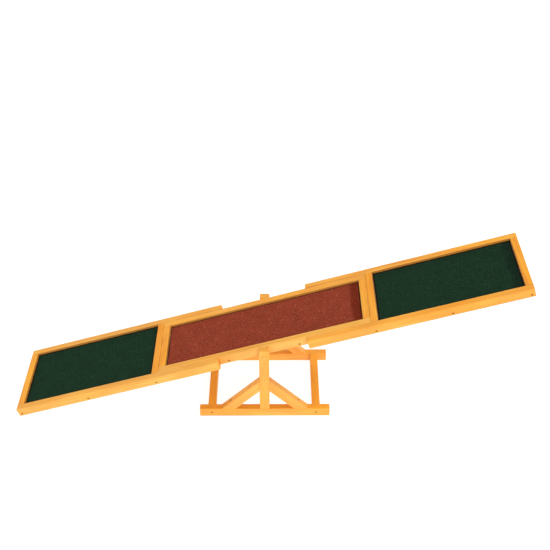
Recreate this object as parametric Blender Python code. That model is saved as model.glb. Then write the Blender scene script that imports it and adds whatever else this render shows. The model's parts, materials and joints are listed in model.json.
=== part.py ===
"""Dog-agility seesaw: a plank of three framed deck sections, tilting on a pivot between two braced posts.

World frame: metres, +X along the plank towards its raised end, +Y towards the back, +Z up, with the
origin on the ground under the pivot. The plank rests with its -X end on the ground.
Plank frame (the plank_pivot empty): x along the plank, y towards the back, z out of the deck, with the
origin on the pivot's axis.
"""
import bmesh
import bpy
from math import asin, atan2, cos, hypot, pi, sin
from mathutils import Matrix, Vector

# Driving dimensions, in metres.
PLANK_LENGTH = 1.800
PLANK_WIDTH = 0.304
RAIL_WIDTH = 0.024          # plank rails, across the rail
RAIL_HEIGHT = 0.032
SIDE_RAIL_LENGTH = 0.744    # all six side rails are cut to one length
DECK_RECESS = 0.007         # the grip sheet lies this far below the rails' top
SHEET_THICKNESS = 0.002
SHEET_MARGIN = 0.0015       # bare board between the sheet and the frame
BOARD_THICKNESS = 0.005
GROOVE_DEPTH = 0.006        # how far the rails are grooved for the board
BATTEN_WIDTH = 0.024
BATTEN_HEIGHT = 0.015
CENTRE_BATTEN_X = 0.124     # the centre section has a batten this far each side of the pivot

STAND_DEPTH = 0.306
GROUND_RAIL_LENGTH = 0.452
STAND_THICKNESS = 0.024     # front and back pieces of the stand, front to back
STAND_STOCK = 0.034         # their other side
CROSS_RAIL_WIDTH = 0.027    # ground rails that run front to back
CROSS_RAIL_X = {"left": -0.184, "right": 0.179}
POST_TOP = 0.302
BRACE_REACH = 0.185         # height, at the post's centre line, of a brace's upper edge, at 45 degrees

PIVOT_HEIGHT = 0.276
PIVOT_INSET = 0.008         # the pivot's axis lies this far above the plank's underside
BOLT_RADIUS = 0.003
BOLT_HEAD_RADIUS = 0.0055
BOLT_HEAD_HEIGHT = 0.0035
BOLT_TAIL = 0.0025          # thread past the nut
WASHER_RADIUS = 0.0065
WASHER_THICKNESS = 0.0012
SPACER_THICKNESS = 0.0007
NUT_FLATS = 0.010
NUT_HEIGHT = 0.006
RUNNING_GAP = 0.0005        # radial room for the bolt in the rail that turns on it

SCREW_RADIUS = 0.00175
SCREW_HEAD_RADIUS = 0.0033
SCREW_HEAD_DEPTH = 0.0022
SCREW_HEAD_RIM = 0.0004
SCREW_POINT = 0.004
SCREW_SUNK = 0.001          # how far a driven head lies below the timber's face
FRAME_SCREW = 0.045         # lengths under the head
JOINING_SCREW = 0.040
GROUND_SCREW = 0.050
PLANK_SCREW_Z = 0.001       # height of the plank's screws over the pivot's axis

FIT_GAP = 0.0003            # gap between pieces that touch
EASED_EDGE = 0.0015         # flat taken off every long edge of the timber
ROUND_SEGMENTS = 20
CUT_MARGIN = 0.001          # how far a cutter stands out of the timber

# Worked out from the above.
SEAM_X = SIDE_RAIL_LENGTH / 2
END_X = PLANK_LENGTH / 2
TIP_X = END_X - SIDE_RAIL_LENGTH                     # where an outer side rail ends beside the centre section
RAIL_BOTTOM = -PIVOT_INSET
RAIL_TOP = RAIL_HEIGHT - PIVOT_INSET
SHEET_TOP = RAIL_TOP - DECK_RECESS
BOARD_TOP = SHEET_TOP - SHEET_THICKNESS - FIT_GAP
BOARD_BOTTOM = BOARD_TOP - BOARD_THICKNESS
BATTEN_TOP = BOARD_BOTTOM - FIT_GAP
OUTER_FACE = PLANK_WIDTH / 2                         # outer side rails, outer face
OUTER_INNER_FACE = OUTER_FACE - RAIL_WIDTH
CENTRE_FACE = OUTER_INNER_FACE - FIT_GAP             # centre side rails, outer face
CENTRE_INNER_FACE = CENTRE_FACE - RAIL_WIDTH
STAND_FACE = STAND_DEPTH / 2
STAND_INNER_FACE = STAND_FACE - STAND_THICKNESS
REST_TILT = asin(PIVOT_HEIGHT / hypot(END_X, PIVOT_INSET)) - atan2(PIVOT_INSET, END_X)

SIDES = (("front", -1), ("back", 1))
HANDS = (("left", -1), ("right", 1))


def clear_scene():
    for scene_object in list(bpy.data.objects):
        bpy.data.objects.remove(scene_object, do_unlink=True)


def surface(name, colour, roughness, metallic=0.0):
    material = bpy.data.materials.new(name)
    material.use_nodes = True
    shader = material.node_tree.nodes["Principled BSDF"]
    shader.inputs["Base Color"].default_value = (*colour, 1.0)
    shader.inputs["Roughness"].default_value = roughness
    shader.inputs["Metallic"].default_value = metallic
    return material


def frame_empty(name, location=(0, 0, 0), turn_y=0.0):
    empty = bpy.data.objects.new(name, None)
    empty.location = location
    empty.rotation_euler = (0, turn_y, 0)
    bpy.context.collection.objects.link(empty)
    return empty


def place(name, mesh, material, parent, location, turn=Matrix.Identity(3)):
    """Link a mesh as an object at location in its parent's frame."""
    piece = bpy.data.objects.new(name, mesh)
    piece.data.materials.append(material)
    piece.parent = parent
    piece.location = location
    piece.rotation_euler = turn.to_euler()
    bpy.context.collection.objects.link(piece)
    return piece


def finish_mesh(name, bm):
    bmesh.ops.recalc_face_normals(bm, faces=bm.faces)
    mesh = bpy.data.meshes.new(name)
    bm.to_mesh(mesh)
    bm.free()
    return mesh


def ease_edges(piece):
    bevel = piece.modifiers.new("eased_edges", "BEVEL")
    bevel.width = EASED_EDGE
    bevel.segments = 1
    bevel.limit_method = "ANGLE"


def span(sign, near, far):
    """The interval from near to far on the side that sign picks, lowest first."""
    return tuple(sorted((sign * near, sign * far)))


def box(name, x, y, z, material, parent):
    """A block between the given limits along x, y and z, with its origin at its centre."""
    limits = (x, y, z)
    size = [high - low for low, high in limits]
    centre = [(high + low) / 2 for low, high in limits]
    bm = bmesh.new()
    bmesh.ops.create_cube(bm, size=1.0)
    bmesh.ops.scale(bm, vec=size, verts=bm.verts)
    return place(name, finish_mesh(name, bm), material, parent, centre)


def timber(name, x, y, z, material, parent):
    piece = box(name, x, y, z, material, parent)
    ease_edges(piece)
    return piece


def turned(name, profile, material, parent, location, direction, ring=False):
    """Turn (radius, distance) points about the axis; distance runs along direction (+Y or -Y).

    A ring's profile closes on itself; any other profile starts and ends on the axis."""
    bm = bmesh.new()
    loops = []
    for radius, distance in profile:
        if radius == 0.0:
            loops.append([bm.verts.new((0, 0, distance))])
            continue
        angles = [2 * pi * step / ROUND_SEGMENTS for step in range(ROUND_SEGMENTS)]
        loops.append([bm.verts.new((radius * cos(a), radius * sin(a), distance)) for a in angles])
    pairs = list(zip(loops, loops[1:]))
    if ring:
        pairs.append((loops[-1], loops[0]))
    for first, second in pairs:
        for step in range(ROUND_SEGMENTS):
            following = (step + 1) % ROUND_SEGMENTS
            corners = [first[step % len(first)], first[following % len(first)],
                       second[following % len(second)], second[step % len(second)]]
            bm.faces.new(list(dict.fromkeys(corners)))
    mesh = finish_mesh(name, bm)
    mesh.shade_smooth()
    mesh.set_sharp_from_angle(angle=pi / 5)
    turn = Vector((0, 0, 1)).rotation_difference(Vector((0, direction, 0))).to_matrix()
    return place(name, mesh, material, parent, location, turn)


def as_cutter(piece):
    piece.hide_render = True
    piece.display_type = "WIRE"
    return piece


def cut(cutter, *pieces):
    for piece in pieces:
        removal = piece.modifiers.new(f"cut_{cutter.name}", "BOOLEAN")
        removal.operation = "DIFFERENCE"
        removal.solver = "EXACT"
        removal.object = cutter


def screw(name, location, direction, length, timbers, materials, parent):
    """A countersunk wood screw, its head sunk below the timber's face, and its hole."""
    location = Vector(location) + Vector((0, direction * SCREW_SUNK, 0))
    shank_end = length - SCREW_POINT
    head = SCREW_HEAD_RADIUS
    profile = [(0.0, 0.0), (head, 0.0), (head, SCREW_HEAD_RIM), (SCREW_RADIUS, SCREW_HEAD_DEPTH),
               (SCREW_RADIUS, shank_end), (0.0, length)]
    turned(name, profile, materials["steel"], parent, location, direction)
    room = FIT_GAP
    mouth = -SCREW_SUNK - CUT_MARGIN
    bore = [(0.0, mouth), (head + room, mouth), (head + room, SCREW_HEAD_RIM + room),
            (SCREW_RADIUS + room, SCREW_HEAD_DEPTH + room), (SCREW_RADIUS + room, shank_end + room),
            (0.0, length + 2 * room)]
    cut(as_cutter(turned(f"{name}_bore", bore, materials["steel"], parent, location, direction)), *timbers)


def drill(name, radius, start_y, end_y, timbers, materials, parent):
    """A straight hole along y through the pivot's axis, in the parent's frame."""
    low, high = sorted((start_y, end_y))
    length = high - low + 2 * CUT_MARGIN
    profile = [(0.0, 0.0), (radius, 0.0), (radius, length), (0.0, length)]
    height = 0.0 if parent.name == "plank_pivot" else PIVOT_HEIGHT
    origin = (0, low - CUT_MARGIN, height)
    cut(as_cutter(turned(name, profile, materials["steel"], parent, origin, 1)), *timbers)


def deck(section, x, y_half, sheet_material, materials, parent, frame):
    """The board in its frame's groove, and the grip sheet on it; x is the opening between the end rails."""
    hold = GROOVE_DEPTH - FIT_GAP
    box(f"{section}_deck_board", (x[0] - hold, x[1] + hold), (-y_half - hold, y_half + hold),
        (BOARD_BOTTOM, BOARD_TOP), materials["board"], parent)
    groove = box(f"{section}_groove", (x[0] - GROOVE_DEPTH, x[1] + GROOVE_DEPTH),
                 (-y_half - GROOVE_DEPTH, y_half + GROOVE_DEPTH),
                 (BOARD_BOTTOM - FIT_GAP, BOARD_TOP + FIT_GAP), materials["board"], parent)
    cut(as_cutter(groove), *frame)
    box(f"{section}_grip_sheet", (x[0] + SHEET_MARGIN, x[1] - SHEET_MARGIN),
        (-y_half + SHEET_MARGIN, y_half - SHEET_MARGIN), (SHEET_TOP - SHEET_THICKNESS, SHEET_TOP),
        sheet_material, parent)


def deck_batten(name, centre_x, y_half, materials, parent):
    x = (centre_x - BATTEN_WIDTH / 2, centre_x + BATTEN_WIDTH / 2)
    y = (-y_half + FIT_GAP, y_half - FIT_GAP)
    return timber(name, x, y, (BATTEN_TOP - BATTEN_HEIGHT, BATTEN_TOP), materials["pine"], parent)


def outer_section(hand, sign, materials, plank):
    """A green section. Its side rails run on past the seam, beside the centre section."""
    rail_z = (RAIL_BOTTOM, RAIL_TOP)
    rails = {side: timber(f"{hand}_{side}_side_rail", span(sign, TIP_X, END_X),
                          span(way, OUTER_INNER_FACE, OUTER_FACE), rail_z, materials["pine"], plank)
             for side, way in SIDES}
    between = (-OUTER_INNER_FACE + FIT_GAP, OUTER_INNER_FACE - FIT_GAP)
    seam = SEAM_X + FIT_GAP
    outer_end = timber(f"{hand}_outer_end_rail", span(sign, END_X - RAIL_WIDTH, END_X),
                       between, rail_z, materials["pine"], plank)
    inner_end = timber(f"{hand}_inner_end_rail", span(sign, seam, seam + RAIL_WIDTH),
                       between, rail_z, materials["pine"], plank)
    opening = span(sign, seam + RAIL_WIDTH, END_X - RAIL_WIDTH)
    deck(hand, opening, OUTER_INNER_FACE, materials["green_grip"], materials, plank,
         [*rails.values(), outer_end, inner_end])
    middle = sum(opening) / 2
    batten = deck_batten(f"{hand}_deck_batten", middle, OUTER_INNER_FACE, materials, plank)
    joints = (("outer", sign * (END_X - RAIL_WIDTH / 2), outer_end),
              ("inner", sign * (seam + RAIL_WIDTH / 2), inner_end),
              ("batten", middle, batten))
    for side, way in SIDES:
        for joint, x, crosspiece in joints:
            screw(f"{hand}_{side}_{joint}_screw", (x, way * OUTER_FACE, PLANK_SCREW_Z), -way,
                  FRAME_SCREW, (rails[side], crosspiece), materials, plank)
    return rails


def centre_section(materials, plank):
    """The red section, one rail narrower each side, which turns on the pivot bolts."""
    rail_z = (RAIL_BOTTOM, RAIL_TOP)
    rails = {side: timber(f"centre_{side}_side_rail", (-SEAM_X, SEAM_X),
                          span(way, CENTRE_INNER_FACE, CENTRE_FACE), rail_z, materials["pine"], plank)
             for side, way in SIDES}
    between = (-CENTRE_INNER_FACE + FIT_GAP, CENTRE_INNER_FACE - FIT_GAP)
    ends = [timber(f"centre_{hand}_end_rail", span(sign, SEAM_X - RAIL_WIDTH, SEAM_X),
                   between, rail_z, materials["pine"], plank) for hand, sign in HANDS]
    half_opening = SEAM_X - RAIL_WIDTH
    deck("centre", (-half_opening, half_opening), CENTRE_INNER_FACE, materials["red_grip"], materials,
         plank, [*rails.values(), *ends])
    for hand, sign in HANDS:
        deck_batten(f"centre_{hand}_batten", sign * CENTRE_BATTEN_X, CENTRE_INNER_FACE, materials, plank)
    return rails


def join_sections(outer_rails, centre_rails, materials, plank):
    """One screw from inside each centre rail into the outer rail that runs beside it."""
    middle = (TIP_X + SEAM_X) / 2
    for hand, sign in HANDS:
        for side, way in SIDES:
            screw(f"{hand}_{side}_joining_screw", (sign * middle, way * CENTRE_INNER_FACE, PLANK_SCREW_Z),
                  way, JOINING_SCREW, (centre_rails[side], outer_rails[hand][side]), materials, plank)


def brace(name, sign, y, material, parent):
    """A 45 degree brace, cut upright against the post and level on the ground rail."""
    post_x = STAND_STOCK / 2 + FIT_GAP
    foot_z = STAND_STOCK + FIT_GAP
    drop = STAND_STOCK * 2 ** 0.5            # the brace's depth, measured upright
    outline = [(post_x, BRACE_REACH - post_x), (BRACE_REACH - foot_z, foot_z),
               (BRACE_REACH - drop - foot_z, foot_z), (post_x, BRACE_REACH - drop - post_x)]
    centre = Vector((sign * (BRACE_REACH - foot_z) / 2, sum(y) / 2, BRACE_REACH / 2))
    bm = bmesh.new()
    corners = [bm.verts.new(Vector((sign * x, y[0], z)) - centre) for x, z in outline]
    near_face = bm.faces.new(corners)
    far_side = bmesh.ops.extrude_face_region(bm, geom=[near_face])["geom"]
    far_corners = [item for item in far_side if isinstance(item, bmesh.types.BMVert)]
    bmesh.ops.translate(bm, vec=(0, y[1] - y[0], 0), verts=far_corners)
    piece = place(name, finish_mesh(name, bm), material, parent, centre)
    ease_edges(piece)
    return piece


def build_stand(materials, stand):
    pine = materials["pine"]
    half = GROUND_RAIL_LENGTH / 2
    posts = {}
    ground = {}
    for side, way in SIDES:
        y = span(way, STAND_INNER_FACE, STAND_FACE)
        ground[side] = timber(f"{side}_ground_rail", (-half, half), y, (0, STAND_STOCK), pine, stand)
        posts[side] = timber(f"{side}_post", (-STAND_STOCK / 2, STAND_STOCK / 2), y,
                             (STAND_STOCK + FIT_GAP, POST_TOP), pine, stand)
        for hand, sign in HANDS:
            brace(f"{side}_{hand}_brace", sign, y, pine, stand)
    reach = STAND_INNER_FACE - FIT_GAP
    for hand, centre_x in CROSS_RAIL_X.items():
        cross_rail = timber(f"{hand}_ground_rail",
                            (centre_x - CROSS_RAIL_WIDTH / 2, centre_x + CROSS_RAIL_WIDTH / 2),
                            (-reach, reach), (0, STAND_STOCK), pine, stand)
        for side, way in SIDES:
            screw(f"{side}_{hand}_ground_screw", (centre_x, way * STAND_FACE, STAND_STOCK / 2), -way,
                  GROUND_SCREW, (ground[side], cross_rail), materials, stand)
    return posts


def washer(name, side_y, inward, thickness, materials, parent):
    inner = BOLT_RADIUS + FIT_GAP
    profile = [(inner, 0.0), (WASHER_RADIUS, 0.0), (WASHER_RADIUS, thickness), (inner, thickness)]
    turned(name, profile, materials["steel"], parent, (0, side_y, PIVOT_HEIGHT), inward, ring=True)


def nut(name, side_y, inward, materials, parent):
    """A hexagon nut, with its hole a little wider than the bolt."""
    bm = bmesh.new()
    corner_radius = NUT_FLATS / 2 / cos(pi / 6)
    bmesh.ops.create_cone(bm, cap_ends=True, segments=6, radius1=corner_radius, radius2=corner_radius,
                          depth=NUT_HEIGHT)
    turn = Matrix.Rotation(pi / 2, 3, "X")
    centre = (0, side_y + inward * NUT_HEIGHT / 2, PIVOT_HEIGHT)
    piece = place(name, finish_mesh(name, bm), materials["steel"], parent, centre, turn)
    ease = piece.modifiers.new("eased_corners", "BEVEL")
    ease.width = 0.0003
    ease.segments = 1
    drill(f"{name}_hole", BOLT_RADIUS + FIT_GAP, side_y, side_y + inward * NUT_HEIGHT, (piece,),
          materials, parent)


def pivot_hardware(side, way, post, centre_rail, materials, stand, plank):
    """Bolt, spacer, washer and nut of one side. The bolt is fixed in the post and the rail turns on it."""
    head_face = STAND_FACE + FIT_GAP
    washer_face = CENTRE_INNER_FACE - FIT_GAP
    nut_face = washer_face - WASHER_THICKNESS - FIT_GAP
    length = head_face - nut_face + NUT_HEIGHT + BOLT_TAIL
    crown = BOLT_HEAD_HEIGHT
    dome = [(BOLT_HEAD_RADIUS * cos(a), -crown * (0.25 + 0.75 * sin(a)))
            for a in (pi / 2 * step / 5 for step in range(4, -1, -1))]
    profile = [(0.0, -crown), *dome, (BOLT_HEAD_RADIUS, 0.0), (BOLT_RADIUS, 0.0),
               (BOLT_RADIUS, length - 0.0008), (BOLT_RADIUS - 0.0008, length), (0.0, length)]
    turned(f"{side}_pivot_bolt", profile, materials["steel"], stand,
           (0, way * head_face, PIVOT_HEIGHT), -way)
    washer(f"{side}_spacer_washer", way * (STAND_INNER_FACE - FIT_GAP), -way, SPACER_THICKNESS,
           materials, stand)
    washer(f"{side}_nut_washer", way * washer_face, -way, WASHER_THICKNESS, materials, stand)
    nut(f"{side}_pivot_nut", way * nut_face, -way, materials, stand)
    drill(f"{side}_post_hole", BOLT_RADIUS + FIT_GAP, way * STAND_INNER_FACE, way * STAND_FACE, (post,),
          materials, stand)
    drill(f"{side}_rail_hole", BOLT_RADIUS + RUNNING_GAP, way * CENTRE_INNER_FACE, way * CENTRE_FACE,
          (centre_rail,), materials, plank)


def main():
    clear_scene()
    materials = {
        "pine": surface("honey_stained_pine", (0.86, 0.42, 0.09), 0.5),
        "board": surface("deck_plywood", (0.62, 0.42, 0.22), 0.7),
        "green_grip": surface("green_mineral_grip", (0.014, 0.045, 0.022), 0.95),
        "red_grip": surface("red_mineral_grip", (0.26, 0.05, 0.025), 0.95),
        "steel": surface("zinc_steel", (0.62, 0.62, 0.60), 0.35, 1.0),
    }
    stand = frame_empty("stand_frame")
    plank = frame_empty("plank_pivot", (0, 0, PIVOT_HEIGHT), -REST_TILT)
    posts = build_stand(materials, stand)
    outer_rails = {hand: outer_section(hand, sign, materials, plank) for hand, sign in HANDS}
    centre_rails = centre_section(materials, plank)
    join_sections(outer_rails, centre_rails, materials, plank)
    for side, way in SIDES:
        pivot_hardware(side, way, posts[side], centre_rails[side], materials, stand, plank)


main()
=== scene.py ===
"""The looks of the seesaw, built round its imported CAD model.

Every timber, deck sheet and fastener made here stands for the CAD node that it is named after and lies
where that node lies. A few screws that the CAD model leaves out are added. Lengths are in metres.

Stand pieces are laid out in the world's frame. Plank pieces are laid out in the plank's own frame: x along
the plank, y towards the back, z out of the deck, origin on the pivot's axis. Each piece is then made in a
frame of its own whose x runs along the grain, or into the wood for a fastener.
"""

import json
from collections import defaultdict, namedtuple
from math import cos, hypot, pi, radians, sin, sqrt

import bmesh
import bpy
import numpy as np
from mathutils import Matrix, Vector, noise

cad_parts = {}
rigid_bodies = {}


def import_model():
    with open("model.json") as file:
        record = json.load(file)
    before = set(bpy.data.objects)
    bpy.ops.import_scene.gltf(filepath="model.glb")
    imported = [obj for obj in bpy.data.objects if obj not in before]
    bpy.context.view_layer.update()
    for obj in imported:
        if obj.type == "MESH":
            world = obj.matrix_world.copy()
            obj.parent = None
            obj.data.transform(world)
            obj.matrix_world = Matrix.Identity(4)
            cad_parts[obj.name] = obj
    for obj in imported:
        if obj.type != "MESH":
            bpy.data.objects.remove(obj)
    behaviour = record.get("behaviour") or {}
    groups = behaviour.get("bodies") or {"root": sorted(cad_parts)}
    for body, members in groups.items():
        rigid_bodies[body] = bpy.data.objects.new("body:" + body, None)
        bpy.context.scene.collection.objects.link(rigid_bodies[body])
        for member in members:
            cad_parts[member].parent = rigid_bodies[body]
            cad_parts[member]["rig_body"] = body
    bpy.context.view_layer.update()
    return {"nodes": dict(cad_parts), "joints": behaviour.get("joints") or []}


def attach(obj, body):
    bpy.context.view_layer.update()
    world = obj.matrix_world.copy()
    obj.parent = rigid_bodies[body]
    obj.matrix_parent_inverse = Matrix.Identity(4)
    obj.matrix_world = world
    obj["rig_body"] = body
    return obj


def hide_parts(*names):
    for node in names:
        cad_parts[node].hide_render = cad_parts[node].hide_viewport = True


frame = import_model()

TILT = frame["joints"][0]
PLANK_TILT = radians(TILT["range_deg"][1]) / 2      # the plank can tilt as far again to its other side
BODY_FRAMES = {
    "stand": Matrix.Identity(4),
    "plank": Matrix.Translation(TILT["pos_m"]) @ Matrix.Rotation(-PLANK_TILT, 4, "Y"),
}
SIDES = (("front", -1), ("back", 1))
HANDS = (("left", -1), ("right", 1))
DECK_SECTIONS = ("left", "centre", "right")
random = np.random.default_rng(20)

# Timber.
EDGE_RADIUS = 0.0010        # of the long edges, on average
EDGE_WEAR = 0.45            # how much that radius varies along an edge, as a share of it
EDGE_WEAR_LENGTH = 0.035
LEAST_EDGE = 0.2            # share of its radius that an edge keeps at the timber's ends
FREE_END_RADIUS = 0.0007
BUTTED_END_RADIUS = 0.0002  # ends that meet another timber are left as sawn
CORNER_STEPS = 3
FACE_STRIP = 0.0065         # mesh spacing across and along a timber
FACE_WAVE = 0.00012         # how hollow a planed face gets
FACE_WAVE_LENGTH = 0.09
PITH_DISTANCE = (0.020, 0.070)  # least and greatest, from a timber's middle
BRACE_SLOPE = 1.0           # both ends of a brace are cut at 45 degrees
JOINT_CLOSING = 0.00026     # how far a butted end reaches into the gap that the CAD model keeps
PIN_KNOT_RADIUS = 0.0021
PIN_KNOT_DEPTH = 0.0012
POST_KNOT_HEIGHTS = (0.251, 0.172)

# How deeply a timber has taken the stain, from 0 to 1, which also paints light on it: lower depths stand for
# painted sheen, higher ones for painted shade. The first word found in its name counts.
STAIN_AND_LIGHT_DEPTHS = (("left_ground_rail", 0.85), ("right_ground_rail", 0.85), ("ground_rail", 0.65),
                ("outer_end_rail", 1.0), ("end_rail", 0.90), ("batten", 0.60),
                ("centre_front_side", 0.25), ("centre_back_side", 0.40), ("left_front_side", 0.30),
                ("left_back_side", 0.30), ("side_rail", 0.60), ("brace", 0.35), ("post", 0.40))
STAIN_SPREAD = 0.07
END_GRAIN_DEPTH = 0.0006    # how far from a timber's end its sides still look like end grain
SHADE_DEPTH = 0.0008        # over what distance painted shade grows into a hole or on a shaded face, and a joint turns dark
# The end rails that lie against one another, and which side of each, in its own y, is darkened.
JOINT_SIDES = {"left_inner_end_rail": -1, "centre_left_end_rail": 1, "centre_right_end_rail": -1,
               "right_inner_end_rail": 1}
JOINT_DARKNESS = 0.85
JOINT_PATCH_LENGTH = 0.05   # the darkening comes and goes along the joint
JOINT_PATCHES = (0.45, 2.2)     # its middle amount, and how strongly it varies
SHEET_SIDE_SHADE = 0.6      # painted shade on the rails' faces round a deck sheet

PALE_PINE = (0.930, 0.470, 0.052)
MID_PINE = (0.895, 0.387, 0.025)
LATE_PINE = (0.790, 0.284, 0.012)
END_PINE = (0.74, 0.30, 0.032)
# Pale edge tone: rubbed stain, which also paints the highlight along the eased edges.
WORN_AND_HIGHLIT_PINE = (1.0, 0.58, 0.20)
# Painted shade in holes and on the rails' faces round the sheets; also the darkened seams between end rails.
SHADE_AND_SEAM_PINE = (0.34, 0.11, 0.020)
KNOT_HEART = (0.30, 0.085, 0.016)
KNOT_RIM = (0.62, 0.20, 0.025)
# Stain tints for shallow and deep depths; the shallow one also paints sheen, the deep one shade.
SHALLOW_STAIN_AND_SHEEN = (0.96, 1.08, 2.20)
DEEP_STAIN_AND_SHADE = (1.02, 0.90, 0.15)
RING_SPACING = 0.0029
# How much late wood there is at each share of a ring's width.
RING_TONES = ((0.0, 0.12), (0.10, 0.0), (0.55, 0.22), (0.84, 0.95), (0.93, 1.0), (1.0, 0.12))
KNOTTY_SHARE = 0.22         # of the cells that could hold a knot
KNOT_BULGE = 0.0035         # how far a knot pushes the rings aside
GRAIN_SWAY = 0.010

# Deck.
FIT_GAP = 0.0003
BOARD_EDGE_RADIUS = 0.0003
BOARD_STRIP = 0.02
GRANULE = 0.0015            # mesh spacing of the mineral surface
GRANULE_SHIFT = 0.38        # how far a granule strays from its place, as a share of the spacing
GRANULE_RELIEF = 0.00055
GRANULE_HEIGHTS = (1.6, 2.2)    # the beta distribution of the granules' heights
FELT_BUCKLE = 0.00018
FELT_BUCKLE_LENGTH = 0.11
FELT_EDGE_WANDER = 0.0004
FELT_EDGE_WANDER_LENGTH = 0.02
END_SHADOW_WIDTH = 0.033             # width of the painted shadow that the right end rail casts across a felt
END_SHADOW_BLUR = 0.006        # half the width over which that painted shadow fades out
# A felt's dark, middle and pale granules, and its flecks.
GREEN_GRANULES = ((0.0030, 0.013, 0.006), (0.0075, 0.028, 0.0128), (0.022, 0.055, 0.032),
                  (0.045, 0.080, 0.055))
RED_GRANULES = ((0.125, 0.020, 0.010), (0.256, 0.039, 0.0168), (0.400, 0.092, 0.052),
                (0.520, 0.200, 0.130))
# Black of the bitumen, which also paints the shade along the sheets' borders.
BITUMEN_AND_SHADE_BLACK = (0.010, 0.007, 0.003)

# Fasteners.
SCREW_CORE = 0.70           # radius under the thread, as a share of the screw's radius
SCREW_RADIUS = 0.00175
SCREW_HEAD_RADIUS = 0.0033
SCREW_HEAD_DEPTH = 0.0022
SCREW_HEAD_RIM = 0.0004
SCREW_SUNK = 0.001
SCREW_PITCH = 0.0018
SCREW_POINT = 0.007
SCREW_PLAIN = 0.010         # unthreaded length under the head
SCREW_ROOM = 0.00025        # room round a screw in its hole
# The cross recess: distance into the head, how far an arm reaches, and half its width, at mouth and bottom.
RECESS_STOPS = ((-0.0005, 0.0019, 0.00048), (0.0014, 0.0008, 0.00030))
CENTRE_SCREW_LENGTH = 0.045
BRACE_SCREW_SHARE = 0.75    # how far down a brace its foot screw goes in
BRACE_SCREW_SUNK = 0.0036
BRACE_SCREW_LENGTH = 0.050
POST_SCREW_LENGTH = 0.070
POST_SCREW_X = 0.009
BOLT_RADIUS = 0.003
BOLT_ROOT = BOLT_RADIUS * 0.82
BOLT_PITCH = 0.001
BOLT_THREAD = 0.018
THREAD_FLANK = 3.2          # how steeply a thread rises, in its own heights for each turn
THREAD_STEPS = 4            # rings for each turn of a thread
POINT_SHARE = 0.08          # a screw's radius at its very point, as a share
# The screws' plating colours, darkened to paint the shade that the sunk heads sit in.
SHADED_SCREW_TONES = ((0.3, (0.30, 0.12, 0.020)), (0.55, (0.46, 0.20, 0.036)), (0.8, (0.60, 0.32, 0.080)))
BOLT_TONES = ((0.3, (0.66, 0.38, 0.10)), (0.7, (0.88, 0.57, 0.19)))
SMALL_STEPS = 16
ROUND_STEPS = 48
SMOOTH_ANGLE = 40           # edges of wood that are sharper than this many degrees stay sharp
METAL_ANGLE = 32            # the same for fasteners
CUT_MARGIN = 0.001

# Studio. Angles are in degrees.
CAMERA_PLACE = (0.0386, -2.4565, 2.4236)
CAMERA_DOWN = 37.984        # below level
CAMERA_YAW = 0.033
CAMERA_ROLL = 0.191
CAMERA_FOCUS = 1.7168       # focal length over the frame's width
SENSOR_WIDTH = 36.0
FLOOR_SIZE = 30.0
FLOOR_TONES = (0.33, 0.35)
FLOOR_GLOW = 0.86
WHITE = (1.0, 1.0, 1.0, 1.0)
HORIZON_LIGHT = 1.0         # the sky's, up to the first of the heights below
SKY_LIGHT = 0.33            # the sky's, from the second one up
SKY_HEIGHTS = (0.15, 0.5)   # sines of the angle above the horizon
# Lamps far away: name, direction towards the lamp, strength, and how wide it looks.
LAMPS = (("front", (0.18, -0.77, 0.61), 1.3, 30.0), ("right", (0.84, 0.08, 0.535), 0.9, 9.0),
         ("overhead", (-0.25, 0.05, 0.97), 1.02, 50.0))

Timber = namedtuple("Timber", "name body place length width height slopes end_radii")
Screw = namedtuple("Screw", "name node body head direction length timbers")


# ---- Where the CAD model's pieces are ----

def body_of(node):
    return frame["nodes"][node]["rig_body"]


def local_box(node):
    """A CAD node's lowest and highest corners in its body's frame."""
    to_body = BODY_FRAMES[body_of(node)].inverted()
    points = np.array([to_body @ vertex.co for vertex in frame["nodes"][node].data.vertices])
    return Vector(points.min(0)), Vector(points.max(0))


def local_centre(node):
    low, high = local_box(node)
    return (low + high) / 2


def outer_and_inner(node, way):
    """A CAD node's box as two opposite corners, the one further from the middle of the stand first."""
    low, high = local_box(node)
    return (high, low) if way > 0 else (low, high)


def nodes_ending(*endings):
    return sorted(name for name in frame["nodes"] if name.endswith(endings))


def placement(origin, along, up=(0, 0, 1)):
    """The matrix of a frame at origin whose x points along and whose z is nearest to up."""
    x_axis = Vector(along).normalized()
    y_axis = Vector(up).cross(x_axis).normalized()
    z_axis = x_axis.cross(y_axis)
    return Matrix.Translation(origin) @ Matrix((x_axis, y_axis, z_axis)).transposed().to_4x4()


# ---- Meshes ----

def rings_mesh(name, rings, loop=False):
    """A closed mesh through rings of equally many points that run counterclockwise seen from +X.

    The first and last ring are capped, or joined to each other where loop is true."""
    count = len(rings[0])
    rows = len(rings)
    faces = []
    for row in range(rows if loop else rows - 1):
        near, far = row * count, (row + 1) % rows * count
        for step in range(count):
            following = (step + 1) % count
            faces.append((near + step, near + following, far + following, far + step))
    if not loop:
        faces.append(tuple(range(count - 1, -1, -1)))
        faces.append(tuple(range((rows - 1) * count, rows * count)))
    mesh = bpy.data.meshes.new(name)
    mesh.from_pydata([tuple(point) for ring in rings for point in ring], [], faces)
    return mesh


def ridge(turns):
    """The height of a thread at that many turns from its start, from 0 in its root to 1 on its crest."""
    return max(0.0, 1 - abs(turns % 1 - 0.5) * THREAD_FLANK)


def turned_ring(distance, radius, steps, thread=0.0, pitch=1.0):
    """A ring about x. radius is a length or a function of the angle; thread is a ridge's height."""
    ring = []
    for step in range(steps):
        angle = 2 * pi * step / steps
        reach = radius(angle) if callable(radius) else radius
        reach += thread * ridge(distance / pitch - angle / (2 * pi))
        ring.append((distance, reach * cos(angle), reach * sin(angle)))
    return ring


def turned_rings(profile, steps):
    return [turned_ring(distance, radius, steps) for distance, radius in profile]


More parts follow.
